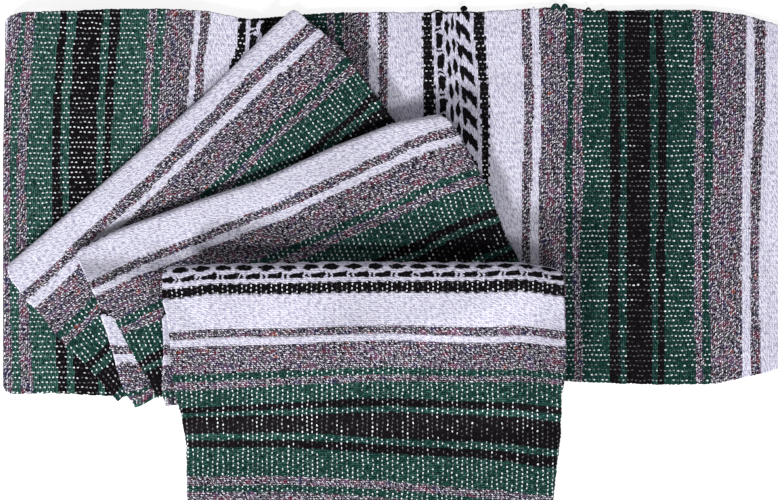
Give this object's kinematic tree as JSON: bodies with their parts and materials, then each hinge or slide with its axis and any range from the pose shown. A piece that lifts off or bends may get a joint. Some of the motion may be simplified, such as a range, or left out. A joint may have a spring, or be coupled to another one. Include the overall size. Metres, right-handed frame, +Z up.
{
  "type": "folded serape blanket",
  "caption": "Striped woven serape blanket, folded and fanned out flat, ready to lie on a shelf, bench or floor.",
  "frame": {"origin": "middle of the folded pile's outline, on the surface that it lies on", "axes": "+X along the back band, +Y to the back of the pile, +Z up"},
  "size_m": [0.856, 0.6842, 0.0795],
  "materials": {
    "striped_weave": "matt",
    "folded_layers": "matt"
  },
  "bodies": {
    "root": {"band_cloth": "striped_weave", "band_layers": "folded_layers", "left_leaf_cloth": "striped_weave", "left_leaf_layers": "folded_layers", "page_1_cloth": "striped_weave", "page_1_layers": "folded_layers", "under_leaf_2": "striped_weave", "page_2_cloth": "striped_weave", "page_2_layers": "folded_layers", "under_leaf_3": "striped_weave", "page_3_cloth": "striped_weave", "page_3_layers": "folded_layers"}
  },
  "joints": []
}
